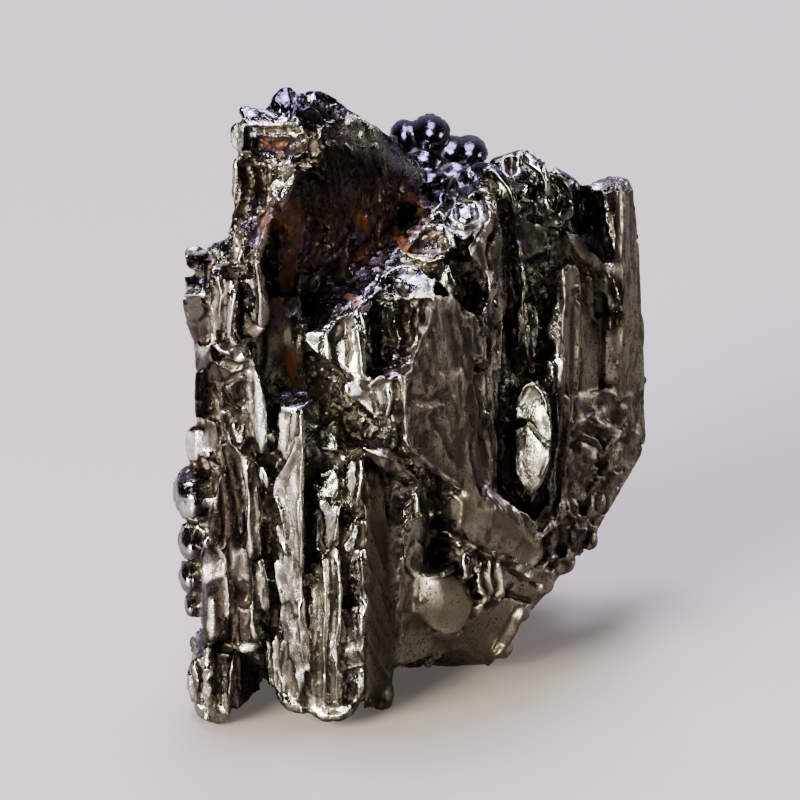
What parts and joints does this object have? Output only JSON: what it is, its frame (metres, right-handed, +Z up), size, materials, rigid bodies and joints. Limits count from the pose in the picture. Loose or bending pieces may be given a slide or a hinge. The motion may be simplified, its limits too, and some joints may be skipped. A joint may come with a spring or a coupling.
{
  "type": "iron meteorite",
  "caption": "Jagged upright lump of etched nickel-iron with fluted columns, a leaning front ridge, stepped plates and a tall peak, resting on its own feet.",
  "frame": {"origin": "on the surface it stands on, under the middle of its bounding box", "axes": "+Z up, the front with the leaning ridge faces -Y, +X to the right seen from the front"},
  "size_m": [0.0326, 0.0308, 0.0426],
  "materials": {
    "nickel_iron": "polished"
  },
  "bodies": {
    "root": {"meteorite": "nickel_iron"}
  },
  "joints": []
}
